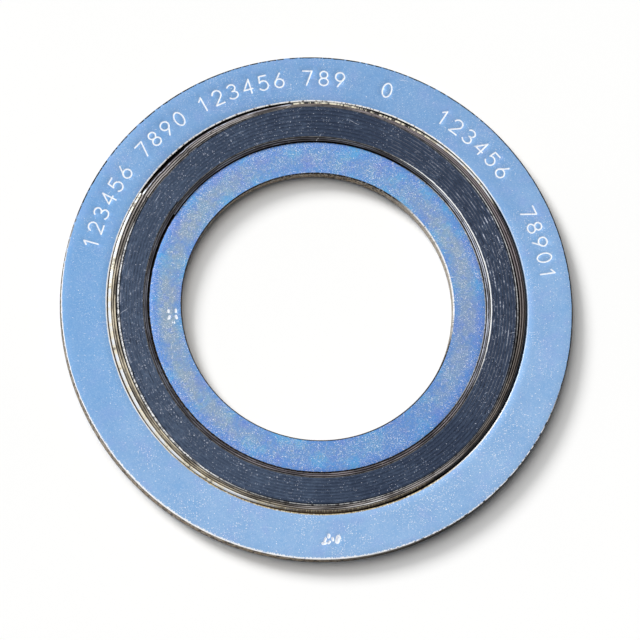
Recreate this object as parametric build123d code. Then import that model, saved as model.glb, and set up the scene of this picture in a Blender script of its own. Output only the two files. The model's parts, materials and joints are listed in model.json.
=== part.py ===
from build123d import *
import math
import os

# Spiral wound gasket: a steel hoop strip and a graphite filler strip wound together into
# the sealing element, held between a solid centring ring outside and a solid inner ring.
# Millimetres. Z is the bore axis, z = 0 is the mid-plane and the gasket lies flat.

# ---- driving dimensions ----
centring_ring_diameter = 104.9    # rim that sits inside the flange bolts
centring_ring_width = 9.15        # rim to the lands either side of the V groove
winding_width = 8.1               # between the strip edges at the sealing faces
inner_ring_width = 6.8            # winding's first strip edge to the clear bore
ring_thickness = 3.2              # both solid rings
strip_height = 4.25               # edge to edge of the steel strip
strip_gauge = 0.2                 # sheet thickness of the steel strip
filler_proud = 0.1                # graphite standing above the strip edges, each side
flank_lean = 25.0                 # degrees between a flank of the V and the bore axis
inner_plies = 6                   # welded plies with no filler, inside
outer_plies = 6                   # welded and loose plies with no filler, outside
filled_half_turns = 9             # half turns of strip wound with filler
land_clearance = 0.6              # radial gap from the last strip edge to the lands
seat_clearance = 0.04             # radial play between the winding's V and each ring
rim_break = 0.25                  # edge break round the centring ring
bore_break = 0.15                 # edge break round the inner ring's bore
strip_end_angle = 148.0           # where the outermost ply ends

# ---- derived sizes, from the rim inward ----
rim_radius = centring_ring_diameter / 2
land_radius = rim_radius - centring_ring_width
outer_edge = land_radius - land_clearance
inner_edge = outer_edge - winding_width
bore_radius = inner_edge - inner_ring_width
slope = math.tan(math.radians(flank_lean))
filler_height = strip_height + 2 * filler_proud
inner_pack = inner_plies * strip_gauge
outer_pack = outer_plies * strip_gauge
wound_width = winding_width - inner_pack - outer_pack + strip_gauge
pitch = wound_width / (filled_half_turns / 2 + 1)
filler_gauge = pitch - strip_gauge
spiral_start = inner_edge + inner_pack + pitch / 4


def flank_radius(edge_radius, height):
    """Radius of a V flank at a height, from its radius at the strip's edge."""
    return edge_radius + slope * (strip_height / 2 - abs(height))


def turned(points, angle=360.0):
    """A section in the XZ plane revolved about Z, starting at +X."""
    section = make_face(Polyline(*[(x, 0, z) for x, z in points], close=True))
    return revolve(section, axis=Axis.Z, revolution_arc=angle)


def v_disc(edge_radius, angle=360.0):
    """Solid disc, as high as the strip, with a V rim whose apex points outward."""
    top = strip_height / 2
    rim = [
        (edge_radius, -top),
        (flank_radius(edge_radius, 0), 0),
        (edge_radius, top),
    ]
    return turned([(0, -top), *rim, (0, top)], angle)


def filler_band(inner_radius):
    """Half a turn of filler, as thick as one pitch of the winding less the strip."""
    top = filler_height / 2
    outer_radius = inner_radius + filler_gauge
    return turned(
        [(inner_radius, -top), (outer_radius, -top), (outer_radius, top), (inner_radius, top)],
        180,
    )


def on_side(half_turn, side, step):
    """A half turn moved to its centre: side 0 lies on +Y, and side 1 on -Y, turned half round.

    The two centres are half a step apart, so half turns that grow by half a step run on
    tangent to each other as a spiral, and every wall in it is a true cylinder or cone.
    """
    centre = step / 4 * (2 * side - 1)
    return Pos(centre, 0, 0) * Rot(0, 0, 180 * side) * half_turn


def centring_ring():
    """Outer ring, with the V groove that the last ply of the winding springs into."""
    face = ring_thickness / 2
    groove_edge = outer_edge + seat_clearance
    groove_mouth = strip_height / 2 - (land_radius - groove_edge) / slope
    return turned(
        [
            (land_radius, -face),
            (rim_radius - rim_break, -face),
            (rim_radius, rim_break - face),
            (rim_radius, face - rim_break),
            (rim_radius - rim_break, face),
            (land_radius, face),
            (land_radius, groove_mouth),
            (flank_radius(groove_edge, 0), 0),
            (land_radius, -groove_mouth),
        ]
    )


def inner_ring():
    """Inner ring, with the V rim that seats in the first ply of the winding."""
    face = ring_thickness / 2
    rim_edge = inner_edge - seat_clearance
    return turned(
        [
            (bore_radius, bore_break - face),
            (bore_radius + bore_break, -face),
            (flank_radius(rim_edge, face), -face),
            (flank_radius(rim_edge, 0), 0),
            (flank_radius(rim_edge, face), face),
            (bore_radius + bore_break, face),
            (bore_radius, face - bore_break),
        ]
    )


def winding():
    """Hoop strip and graphite filler, each one spiral that grows clockwise, seen from above."""
    core = v_disc(inner_edge)
    strip_sides = []
    filler_bands = []
    for side in (0, 1):
        bands = [
            on_side(filler_band(spiral_start + half_turn * pitch / 2), side, pitch)
            for half_turn in range(side, filled_half_turns, 2)
        ]
        last_ply = outer_edge - strip_gauge * (3 - 2 * side) / 4
        plies = on_side(v_disc(last_ply, 180), side, strip_gauge)
        strip_sides.append(plies - core - bands)
        filler_bands += bands
    strip = strip_sides[0] + strip_sides[1]
    filler = filler_bands[0].fuse(*filler_bands[1:])
    clockwise = Rot(0, 0, strip_end_angle) * Rot(180, 0, 0)
    return clockwise * strip, clockwise * filler


hoop_strip, graphite_filler = winding()
nodes = {
    "centring_ring": centring_ring(),
    "inner_ring": inner_ring(),
    "hoop_strip": hoop_strip,
    "graphite_filler": graphite_filler,
}

os.makedirs("parts", exist_ok=True)
for name, shape in nodes.items():
    export_step(shape, f"parts/{name}.step")
    print(name, len(shape.solids()), "solid", round(shape.volume, 1), "mm3")
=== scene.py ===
"""Spiral wound gasket: the finished rings, strip and filler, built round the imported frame.

Everything is in metres, in the frame of the solids: Z is the bore axis, z = 0 the mid-plane.
Bearings are in degrees, anticlockwise from X seen from above; +X is right and +Y away.
"""

import json
import math

import bpy
import numpy as np
from bpy.props import FloatProperty, FloatVectorProperty, IntProperty, PointerProperty
from mathutils import Matrix, Vector
from mathutils.geometry import delaunay_2d_cdt


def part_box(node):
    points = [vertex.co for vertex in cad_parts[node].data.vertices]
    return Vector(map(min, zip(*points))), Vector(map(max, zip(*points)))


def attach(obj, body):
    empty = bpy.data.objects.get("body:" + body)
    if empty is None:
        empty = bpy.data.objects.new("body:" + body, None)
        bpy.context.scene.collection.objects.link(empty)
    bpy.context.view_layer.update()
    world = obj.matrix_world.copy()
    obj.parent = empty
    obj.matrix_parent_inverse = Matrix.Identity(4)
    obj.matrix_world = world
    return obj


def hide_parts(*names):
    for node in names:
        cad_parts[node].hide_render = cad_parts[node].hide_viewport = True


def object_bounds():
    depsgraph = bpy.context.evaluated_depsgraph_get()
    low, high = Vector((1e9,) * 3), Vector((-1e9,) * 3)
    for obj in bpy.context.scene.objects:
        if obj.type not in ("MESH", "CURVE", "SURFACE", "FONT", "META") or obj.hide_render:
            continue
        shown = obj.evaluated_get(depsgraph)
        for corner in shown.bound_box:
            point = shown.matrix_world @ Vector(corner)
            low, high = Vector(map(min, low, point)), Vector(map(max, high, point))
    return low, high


bl_info = {
    "name": "Spiral Wound Gasket",
    "version": (1, 0, 0),
    "blender": (4, 5, 0),
    "location": "View3D > Sidebar > Gasket",
    "description": "Builds the rings, hoop strip and filler of a spiral wound gasket",
    "category": "Add Mesh",
}

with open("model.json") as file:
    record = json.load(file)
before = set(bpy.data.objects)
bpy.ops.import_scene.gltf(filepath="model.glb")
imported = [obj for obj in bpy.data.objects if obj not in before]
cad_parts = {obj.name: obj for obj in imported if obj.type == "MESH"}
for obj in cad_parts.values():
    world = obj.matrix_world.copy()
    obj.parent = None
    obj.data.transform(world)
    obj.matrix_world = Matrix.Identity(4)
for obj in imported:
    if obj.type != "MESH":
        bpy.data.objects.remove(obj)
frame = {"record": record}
cad_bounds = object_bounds()

MM = 0.001
SEED = 11

mounts = {mount["name"]: mount for mount in frame["record"]["mounts"]}
RIM_RADIUS, _, RING_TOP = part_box("centring_ring")[1]
CORE_APEX, _, CORE_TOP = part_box("inner_ring")[1]
STRIP_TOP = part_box("hoop_strip")[1][2]
FILLER_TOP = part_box("graphite_filler")[1][2]
BORE_RADIUS = mounts["bore"]["dims"]["r_mm"] * MM
FLOOR_LEVEL = cad_bounds[0][2]
FLOOR_REACH = 3.0

# How finely the pieces are made.
TURN_STEPS = 420          # steps of the winding in one turn
RING_STEPS = 720          # steps round each solid ring
FACE_ROWS = 6             # rows of triangles across a ring's top face
CAP_STEPS = 5             # steps round the end of an engraved stroke
SHARP_ANGLE = math.radians(32)
BURR_WAVES = 14           # waves that make up the wander of a burred edge
BURR_RATES = (9, 220)     # how many times each may go round the ring
BURR_PEAK = 5             # their usual sum at a crest
LEVEL = 0.9999            # upward share of a level face's normal

# Radii in millimetres where a finish changes.
HAZE = (28.8, 32.6)       # the inner ring's hazy band
CORE_MIDDLE = 30.3        # parts its bore edge from its rim edge
CORE_MARGIN = 33.0        # where its violet margin begins
CORE_RIM = (34.0, 40.0)   # its V rim, hidden beside the winding
BESIDE_PLIES = (36.6, 37.8)
WINDING_MIDDLE = 38.5
LAST_PLIES = 42.25
WALLS_MIDDLE = 46.0       # parts the bore's wall from the rim's
LONG_SCRATCHES = (150, 1.3, 0.05, 0.16)

# The winding.
TAPER = 0.07              # turns in which the filler thins out at its ends
THINNEST_TAPE = 0.03 * MM  # where the filler starts and ends
FULL_TAPE = 0.1 * MM      # from here the filler parts the laps, and below it only play does
TAPE_PLAY = 0.004 * MM    # play between the filler and the strip
TAPE_WANDER = 0.03 * MM   # how far the filler's gauge wanders
LEAST_PLAY = 0.01 * MM
PLAY_WANDER = 0.7         # share of the play between plies
STRIP_WANDER = 0.02 * MM  # mean depth of the slit edges below the strip's top
STRIP_CLEARANCE = 0.17 * MM
OUTWARD = slice(4, 9)     # sides of the strip's section, from its top round the outer flank

# The filler's crown: its round edges, its depth below the filler's top and the dip in its middle.
CROWN_EDGE = 0.06 * MM
CROWN_DEPTH = 0.07 * MM
CROWN_WANDER = 0.03 * MM
CROWN_DIP = 0.01 * MM
EDGE_DEPTH = 0.03 * MM    # the filler's upper edges, below the strip's top
EDGE_WANDER = 0.02 * MM

# Where the laps are bunched: a bearing and its reach, and how far outward the filler's
# outermost lap lies there.
BUNCHES = (
    (88, 44, 1.0 * MM),
    (160, 40, -0.4 * MM),
    (200, 45, -0.75 * MM),
    (318, 30, 0.38 * MM),
    (8, 40, -0.27 * MM),
)

# Single-stroke numerals from 0 to 9, in a box one high and NUMERAL_WIDTH wide.
# A line is (x, y, x, y) and an arc is (centre x, centre y, radius x, radius y, from, to).
NUMERAL_WIDTH = 0.62
NUMERALS = (
    [(0.31, 0.5, 0.31, 0.5, 0, 180), (0.31, 0.5, 0.31, 0.5, 180, 360)],
    [(0.34, 0, 0.34, 1), (0.34, 1, 0.1, 0.78)],
    [(0.31, 0.7, 0.31, 0.3, 165, -35), (0.565, 0.53, 0, 0), (0, 0, 0.62, 0)],
    [(0.29, 0.76, 0.28, 0.24, 150, -90), (0.29, 0.26, 0.33, 0.26, 90, -150)],
    [(0.48, 0, 0.48, 1), (0.48, 1, 0, 0.3), (0, 0.3, 0.62, 0.3)],
    [(0.58, 1, 0.1, 1), (0.1, 1, 0.06, 0.55), (0.29, 0.33, 0.33, 0.33, 132, -145)],
    [(0.31, 0.3, 0.31, 0.3, 0, 180), (0.31, 0.3, 0.31, 0.3, 180, 360), (0.01, 0.35, 0.42, 1)],
    [(0, 1, 0.62, 1), (0.62, 1, 0.2, 0)],
    [
        (0.31, 0.76, 0.26, 0.24, -90, 90),
        (0.31, 0.76, 0.26, 0.24, 90, 270),
        (0.31, 0.26, 0.31, 0.26, -90, 90),
        (0.31, 0.26, 0.31, 0.26, 90, 270),
    ],
    [(0.31, 0.7, 0.31, 0.3, 0, 180), (0.31, 0.7, 0.31, 0.3, 180, 360), (0.61, 0.65, 0.2, 0)],
)
# Running numerals, in groups: the bearing of the group's first numeral, and how many.
NUMERAL_GROUPS = ((165.3, 6), (138.3, 4), (119.4, 6), (92.5, 3), (72.7, 1), (57.3, 6), (25.5, 5))

# Punch marks: the radius and the bearing of the mark, and its dots in millimetres and degrees,
# as (out, side, length, width, lean).
RING_MARK = (0.0482, math.radians(273.3))
RING_DOTS = (
    (0.9, 1.55, 0.5, 0.66, 10),
    (0.2, 1.3, 0.5, 0.56, 70),
    (0.75, 0.55, 0.4, 0.56, 40),
    (-0.55, 0.5, 0.4, 0.66, 80),
    (0.1, -0.25, 0.4, 0.56, 100),
    (0.2, -1.3, 0.9, 1.0, 75),
)
CORE_MARK = (0.0298, math.radians(184.5))
CORE_DOTS = (
    (0.75, 0.65, 0.35, 0.5, 95),
    (-0.75, 0.65, 0.5, 0.45, 88),
    (0.7, -0.65, 0.45, 0.55, 70),
    (-0.75, -0.65, 0.45, 0.55, 110),
    (0.1, -1.7, 0.2, 0.25, 130),
    (-0.3, -1.75, 0.3, 0.25, 100),
)


# ---------------------------------------------------------------- sizes and colours


def length(name, description, millimetres, smallest=0.0):
    """A property that holds a length in metres."""
    return FloatProperty(
        name=name,
        description=description,
        default=millimetres * MM,
        min=smallest,
        precision=5,
        subtype="DISTANCE",
        unit="LENGTH",
    )


def angle(name, description, degrees):
    """A property that holds an angle in radians."""
    return FloatProperty(
        name=name,
        description=description,
        default=math.radians(degrees),
        subtype="ANGLE",
        unit="ROTATION",
    )


def amount(name, description, value):
    """A property that holds a plain number."""
    return FloatProperty(name=name, description=description, default=value, min=0.0)


def colour(name, description, red, green, blue):
    """A property that holds a colour, given as display values from 0 to 255."""
    return FloatVectorProperty(
        name=name,
        description=description,
        default=[linear(value) for value in (red, green, blue)],
        size=3,
        min=0.0,
        max=1.0,
        subtype="COLOR",
    )


def linear(value):
    """Scene-linear amount of a display value from 0 to 255."""
    share = value / 255
    return share / 12.92 if share <= 0.04045 else ((share + 0.055) / 1.055) ** 2.4


class GasketRings(bpy.types.PropertyGroup):
    """Sizes of the two solid rings that the frame doesn't give."""

    land_radius: length("Land radius", "Bore of the centring ring, beside its V groove", 43.08)
    groove_radius: length("Groove radius", "Deepest radius of the centring ring's V groove", 43.9)
    groove_mouth: length("Groove mouth", "Height of the groove's mouth above the mid-plane", 1.45)
    rim_break: length("Rim break", "Edge break round the centring ring's rim", 0.26)
    land_break: length("Land break", "Width of the burred edge at the centring ring's bore", 0.27)
    core_face_radius: length("Core face radius", "Where the inner ring's flat face ends", 34.38)
    core_break: length("Core break", "Edge break round the inner ring's rim", 0.2)
    bore_break: length("Bore break", "Edge break round the inner ring's bore", 0.26)
    burr: length("Burr", "How far the cut edges wander", 0.035)


class GasketWinding(bpy.types.PropertyGroup):
    """Sizes of the hoop strip and the filler."""

    first_radius: length("First radius", "Strip edge where the winding starts", 34.6)
    strip_gauge: length("Strip gauge", "Sheet thickness of the hoop strip", 0.2)
    strip_bevel: length("Strip bevel", "Rounding of the strip's slit edges", 0.035)
    shoulder: length("Shoulder", "How far the outermost ply's edges lie over outward", 0.36)
    roll_rise: length("Roll rise", "How far the laps beside the filler stand up", 0.06)
    roll_width: length("Roll width", "How far those laps' burrs reach over it", 0.1)
    filler_gauge: length("Filler gauge", "Thickness of the filler between two laps", 0.455)
    inner_play: length("Inner play", "Play between the plies inside the filler", 0.17)
    outer_play: length("Outer play", "Play between the plies outside the filler", 0.2)
    flank_lean: angle("Flank lean", "Angle of the V's flanks to the bore axis", 25.0)
    end_angle: angle("End angle", "Where the outermost ply ends", 148.0)
    inner_plies: IntProperty(name="Inner plies", description="Plies before the filler", default=3, min=2)
    filled_turns: IntProperty(name="Filled turns", description="Turns with filler", default=8, min=1)
    outer_plies: IntProperty(name="Outer plies", description="Plies after the filler", default=4, min=2)


class GasketMarks(bpy.types.PropertyGroup):
    """Sizes of the engraved numerals and the punch marks."""

    numeral_height: length("Numeral height", "Height of a numeral", 3.0)
    numeral_radius: length("Numeral radius", "Radius of the numerals' middle line", 48.0)
    numeral_pitch: angle("Numeral pitch", "Angle from one numeral to the next", 3.95)
    stroke_width: length("Stroke width", "Width of an engraved stroke", 0.32)
    stroke_depth: length("Stroke depth", "Depth of an engraved stroke", 0.07)
    punch_depth: length("Punch depth", "Depth of a dot punched in the centring ring", 0.18)
    light_punch: length("Light punch depth", "Depth of a dot punched in the inner ring", 0.09)


class GasketFinish(bpy.types.PropertyGroup):
    """Colours of the finishes."""

    plate_blue: colour("Plate blue", "Blue zinc plate of the centring ring", 110, 154, 203)
    # Random paler patches and crystals, and also painted light that makes the centring ring's near side
    # paler
    plate_pale_and_lit: colour("Plate pale", "Paler patches of the centring ring's plate", 142, 178, 218)
    plate_lilac: colour("Plate lilac", "Lilac clouds in the plate", 136, 160, 214)
    # Painted shade: a duller plate colour laid only on the far side of the centring ring
    plate_far_shade: colour("Plate deep", "Duller plate on the far side", 108, 146, 190)
    # Sky blue clouds in the plate, and a painted sky reflection on its left side
    plate_sky_and_reflection: colour("Plate sky", "Sky blue clouds in the plate", 108, 160, 212)
    core_blue: colour("Core blue", "Blue zinc plate of the inner ring", 90, 142, 206)
    # Deep blue grain and pits, and also painted shade on the inner ring's lower right
    core_deep_and_shade: colour("Core deep", "Deep blue grain of the inner ring", 70, 118, 188)
    # Violet tint of the inner ring, also used as painted shade in the bottoms of punched dots
    core_violet_and_shade: colour("Core violet", "Violet tint beside the winding", 102, 132, 204)
    core_haze: colour("Core haze", "Grey-green haze in the middle of the inner ring", 142, 159, 174)
    core_cyan: colour("Core cyan", "Cyan clouds of the inner ring", 84, 160, 214)
    core_green: colour("Core green", "Blue-green patches of the inner ring", 108, 156, 196)
    # Fresh metal of scratches and specks, and also the white of painted highlights and glints on edges
    # and laps
    bright_metal_and_highlight: colour("Bright metal", "Fresh metal on broken edges", 242, 243, 244)
    raw_wall: colour("Raw wall", "Cut and tarnished side walls", 150, 133, 112)
    # Paler spots of the side walls, and also painted light on the bore wall's right side
    pale_wall_and_lit: colour("Pale wall", "Rubbed spots of the side walls", 168, 160, 148)
    # Dark scale in the side walls and chatter, and also painted shade on edges and walls that face away
    # from the light
    dark_wall_and_shade: colour("Dark wall", "Dark scale in the side walls", 44, 40, 36)
    gilt: colour("Gilt", "Yellow passivation in the machined bore", 214, 198, 158)
    etched: colour("Etched", "Floor of the engraved strokes", 240, 244, 250)
    # Hoop strip steel; its bright coats on laps and plies toward the right and left are painted
    # highlights
    steel: colour("Steel", "Hoop strip", 206, 211, 226)
    # Painted highlight: the cream of the outer plies' flank where it reflects the light, and of bright
    # grit
    cream_highlight: colour("Cream steel", "Bright flank of the outer plies", 246, 234, 206)
    ply_brown: colour("Ply brown", "Warm tarnish of the plies", 124, 116, 110)
    # Painted light: a pale ply colour laid on the far and near sides
    ply_lit_pale: colour("Ply pale", "Worn plies on the far and near sides", 176, 170, 168)
    # Painted light: a lighter, flatter grey given to the plies on some sides
    ply_lit_grey: colour("Ply grey", "Flat grey of the plies on the right", 146, 137, 140)
    ply_bronze: colour("Ply bronze", "Bronze shade beside the outermost ply", 98, 82, 64)
    ply_cold: colour("Ply cold", "Dark steel of the plies beside the inner ring", 66, 64, 68)
    # Dark tarnish of the plies, and also painted shade on the outermost ply's near right
    ply_dark_and_shade: colour("Ply dark", "Dark tarnish of the plies", 52, 49, 50)
    # Painted shade in unlit gaps, grooves and edges, and also the black of real pits and grit
    black_pits_and_shade: colour("Black gap", "Unlit gap beside the outermost ply", 16, 15, 16)
    graphite: colour("Graphite", "Pressed graphite filler", 49, 60, 80)
    # Burnished graphite in random patches, and also painted light on the filler's left side
    graphite_pale_and_lit: colour("Pale graphite", "Burnished graphite", 84, 99, 122)
    floor: colour("Floor", "Floor", 252, 252, 251)


class GasketStage(bpy.types.PropertyGroup):
    """The camera and the light."""

    distance: length("Distance", "Camera's distance from the point looked at", 1400)
    lens: amount("Lens", "Focal length in millimetres", 386.3)
    tilt: angle("Tilt", "Camera's angle from straight above", 14)
    bearing: angle("Bearing", "Side that the camera leans to", 245)
    aim_x: length("Aim X", "Point looked at", 0.62, -1)
    aim_y: length("Aim Y", "Point looked at", -2.5, -1)
    light_bearing: angle("Light bearing", "Side that both lights come from", 137)
    low_share: amount("Low share", "Share of the floor's light from the low light", 0.45)
    low_rise: angle("Low rise", "Height of the low light above the floor", 36.5)
    low_spread: angle("Low spread", "How wide the low light is seen", 20)
    high_share: amount("High share", "Share of the floor's light from the high light", 0.47)
    high_rise: angle("High rise", "Height of the high light above the floor", 66)
    high_spread: angle("High spread", "How wide the high light is seen", 46)
    sky: amount("Sky", "Strength of the even light", 0.1)


# ---------------------------------------------------------------- node materials


class Finish:
    """A node material: a base colour and the coats laid over it, written one node at a time."""

    def __init__(self, name, base):
        self.material = bpy.data.materials.new(name)
        self.material.use_nodes = True
        self.tree = self.material.node_tree
        self.surface = self.tree.nodes["Principled BSDF"]
        self.base = base
        self.place = self.node("ShaderNodeTexCoord").outputs["Object"]
        flat = self.vector("MULTIPLY", self.place, (1, 1, 0))
        self.radius = self.vector("LENGTH", flat, output="Value")
        self.direction = self.vector("NORMALIZE", flat)
        self.height = self.node("ShaderNodeSeparateXYZ", {0: self.place}).outputs["Z"]

    def node(self, kind, inputs=None, **settings):
        made = self.tree.nodes.new(kind)
        for key, value in settings.items():
            setattr(made, key, value)
        self.wire(made, inputs or {})
        return made

    def wire(self, node, inputs):
        """Links each input that is a socket, and sets each that is a value."""
        for key, value in inputs.items():
            if isinstance(value, bpy.types.NodeSocket):
                self.tree.links.new(value, node.inputs[key])
            else:
                node.inputs[key].default_value = value

    def vector(self, operation, first, second=(0, 0, 0), output="Vector"):
        made = self.node("ShaderNodeVectorMath", {0: first, 1: second}, operation=operation)
        return made.outputs[output]

    def math(self, operation, first, second=0):
        return self.node("ShaderNodeMath", {0: first, 1: second}, operation=operation).outputs[0]

    def times(self, product, *values):
        """The product of several values."""
        for value in values:
            product = self.math("MULTIPLY", product, value)
        return product

    def most(self, largest, *values):
        """The largest of several values."""
        for value in values:
            largest = self.math("MAXIMUM", largest, value)
        return largest

    def less(self, share):
        """What a share leaves of one."""
        return self.math("SUBTRACT", 1, share)

    def ramp(self, value, low, high, top=1, foot=0):
        """Rises smoothly from foot to top as value goes from low to high; low may be the larger."""
        inputs = {"Value": value, "From Min": low, "From Max": high, "To Min": foot, "To Max": top}
        return self.node("ShaderNodeMapRange", inputs, interpolation_type="SMOOTHSTEP").outputs["Result"]

    def past(self, radius, soft):
        """One outside a radius, and nothing inside it; both are in millimetres."""
        return self.ramp(self.radius, (radius - soft) * MM, (radius + soft) * MM)

    def between(self, low, high, soft):
        """One between two radii, and nothing elsewhere; all are in millimetres."""
        return self.times(self.past(low, soft), self.less(self.past(high, soft)))

    def at_rim(self, start, full):
        """Rises to one toward the centring ring's rim, between two millimetre depths from it."""
        return self.ramp(self.radius, RIM_RADIUS - start * MM, RIM_RADIUS - full * MM)

    def sunk(self, start, full):
        """Rises to one below the slit edges, on either side, between two millimetre depths."""
        reach = self.math("ABSOLUTE", self.height)
        return self.ramp(reach, STRIP_TOP - start * MM, STRIP_TOP - full * MM)

    def facing(self, bearing, low, high):
        """One on the side that faces a bearing, and nothing away from it; -1 is the far side."""
        way = (math.cos(math.radians(bearing)), math.sin(math.radians(bearing)), 0)
        return self.ramp(self.vector("DOT_PRODUCT", self.direction, way, output="Value"), low, high)

    def noise(self, vector, scale, detail, roughness):
        inputs = {"Vector": vector, "Scale": scale, "Detail": detail, "Roughness": roughness}
        return self.node("ShaderNodeTexNoise", inputs).outputs["Fac"]

    def cloud(self, scale, detail=2, roughness=0.5, shift=(0, 0, 0)):
        """Noise that is the same size every way."""
        return self.noise(self.vector("ADD", self.place, shift), scale, detail, roughness)

    def drawn(self, around, across, detail, roughness):
        """Noise that is drawn out along the turns: its scale round the gasket and across it."""
        ring = self.node("ShaderNodeVectorMath", {0: self.direction, "Scale": around}, operation="SCALE")
        reach = self.math("ADD", self.times(self.radius, across), self.times(self.height, across))
        out = self.node("ShaderNodeCombineXYZ", {"Z": reach}).outputs[0]
        return self.noise(self.vector("ADD", ring.outputs["Vector"], out), 1, detail, roughness)

    def cells(self, scale, share):
        """Scattered points: the distance to the nearest, its place, whether it shows and its grade."""
        inputs = {"Vector": self.place, "Scale": scale}
        made = self.node("ShaderNodeTexVoronoi", inputs, voronoi_dimensions="2D")
        picks = self.node("ShaderNodeSeparateColor", {0: made.outputs["Color"]}).outputs
        chosen = self.ramp(picks[0], share, share * 0.98)
        return made.outputs["Distance"], made.outputs["Position"], chosen, picks[1]

    def specks(self, scale, size, share):
        """Specks of mixed sizes: scale points a metre, the share of them that show."""
        distance, _, chosen, grade = self.cells(scale, share)
        reach = self.math("ADD", self.times(grade, 0.75), self.times(self.cloud(scale * 4), 0.5))
        spot = self.ramp(self.math("DIVIDE", distance, reach), size, size * 0.6)
        return self.times(chosen, spot)

    def dashes(self, scale, long, thin, share):
        """Short, nearly straight scratches in millimetres, one to a point, each turned its own way."""
        _, place, chosen, grade = self.cells(scale, share)
        inputs = {"Vector": self.vector("SUBTRACT", self.place, place), "Angle": self.times(grade, 40)}
        turned = self.node("ShaderNodeVectorRotate", inputs, rotation_type="Z_AXIS").outputs[0]
        parts = self.node("ShaderNodeSeparateXYZ", {0: turned}).outputs
        bend = self.times(parts["X"], parts["X"], 60)
        side = self.math("SUBTRACT", parts["Y"], bend)
        for away, reach in ((side, thin * MM), (parts["X"], long * MM)):
            within = self.ramp(self.math("ABSOLUTE", away), reach, reach * 0.5)
            chosen = self.times(chosen, within)
        return chosen

    def mix(self, share, first, second):
        inputs = {0: share, 6: rgba(first), 7: rgba(second)}
        return self.node("ShaderNodeMix", inputs, data_type="RGBA").outputs[2]

    def coat(self, colour, *shares):
        """Lays a colour over the base, as thick as the product of the shares."""
        self.base = self.mix(self.times(*shares), self.base, colour)

    def bump(self, height, strength, depth):
        inputs = {"Height": height, "Strength": strength, "Distance": depth * MM}
        return self.node("ShaderNodeBump", inputs).outputs["Normal"]

    def finish(self, roughness, metallic, specular, normal=None):
        """Wires what varies, and sets what doesn't on the shader itself."""
        wanted = {
            "Base Color": self.base,
            "Roughness": roughness,
            "Metallic": metallic,
            "Specular IOR Level": specular,
        }
        if normal is not None:
            wanted["Normal"] = normal
        self.wire(self.surface, wanted)
        return self.material


def rgba(value):
    """A colour property as four numbers; a socket stays as it is."""
    return value if isinstance(value, bpy.types.NodeSocket) else (*value[:3], 1.0)


def centring_plate(colours):
    """Pale blue zinc plate: faint clouds, clustered dust-sized specks and a few hairlines, with painted
    light and shade: paler near, sky blue on the left, duller far, and a painted highlight along the near
    rim.
    """
    made = Finish("centring_plate", colours.plate_blue)
    clouds = made.cloud(110, 4, 0.6)
    lilac = made.cloud(230, 4, 0.6, (0.3, 0.1, 0.2))
    crystals = made.cloud(1500, 3, 0.7)
    fine = made.cloud(4200, 2, 0.7)
    # Painted light: the plate turns paler toward the near side, round bearing 290, on top of its random
    # clouds
    side = made.times(made.facing(290, -1, 1), 0.62)
    made.coat(colours.plate_pale_and_lit, made.math("ADD", side, made.ramp(clouds, 0.3, 0.7, 0.38)))
    made.coat(colours.plate_lilac, made.ramp(lilac, 0.48, 0.66, 0.36))
    made.coat(colours.plate_sky_and_reflection, made.ramp(lilac, 0.45, 0.3, 0.35))
    made.coat(colours.plate_pale_and_lit, made.ramp(crystals, 0.45, 0.7, 0.3))
    # Painted shade: the far side of the plate is duller
    made.coat(colours.plate_far_shade, made.facing(85, 0.3, 1), 0.22)
    # Painted reflection: the plate's left side is tinted sky blue
    made.coat(colours.plate_sky_and_reflection, made.facing(180, 0.75, 1), 0.45)
    made.coat(colours.bright_metal_and_highlight, made.ramp(fine, 0.54, 0.74, 0.3))
    made.coat(colours.core_blue, made.ramp(fine, 0.46, 0.26, 0.36))
    # Painted highlight: ragged bright teeth along the rim on the near side, where the chamfer catches
    # the light
    highlight_teeth = made.ramp(made.drawn(210, 900, 3, 0.75), 0.52, 0.55)
    made.coat(colours.bright_metal_and_highlight, made.at_rim(0.46, 0.4), highlight_teeth, made.facing(262, 0.4, 0.8))
    drifts = made.ramp(made.cloud(150, 3), 0.44, 0.6, 1, 0.12)
    near = made.facing(290, -0.6, 0.9)
    thick = made.times(drifts, made.math("ADD", made.times(near, 0.5), 0.5))
    dust = made.times(thick, made.specks(3200, 0.34, 0.42))
    bright = made.most(made.specks(900, 0.1, 0.1), made.times(near, made.specks(1300, 0.18, 0.14)))
    hairs = made.most(made.dashes(170, 0.9, 0.035, 0.16), made.dashes(420, 0.3, 0.04, 0.12))
    marks = made.most(dust, bright, made.times(hairs, 0.8))
    made.coat(colours.bright_metal_and_highlight, marks, 0.85)
    pits = made.most(made.specks(1100, 0.14, 0.07), made.dashes(300, 0.4, 0.04, 0.08))
    made.coat(colours.core_deep_and_shade, pits, 0.55)
    rough = made.ramp(crystals, 0.2, 0.8, 0.5, 0.36)
    relief = made.math("SUBTRACT", crystals, made.times(marks, 0.4))
    return made.finish(rough, 0.45, 0.3, made.bump(relief, 0.1, 0.02))


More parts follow.
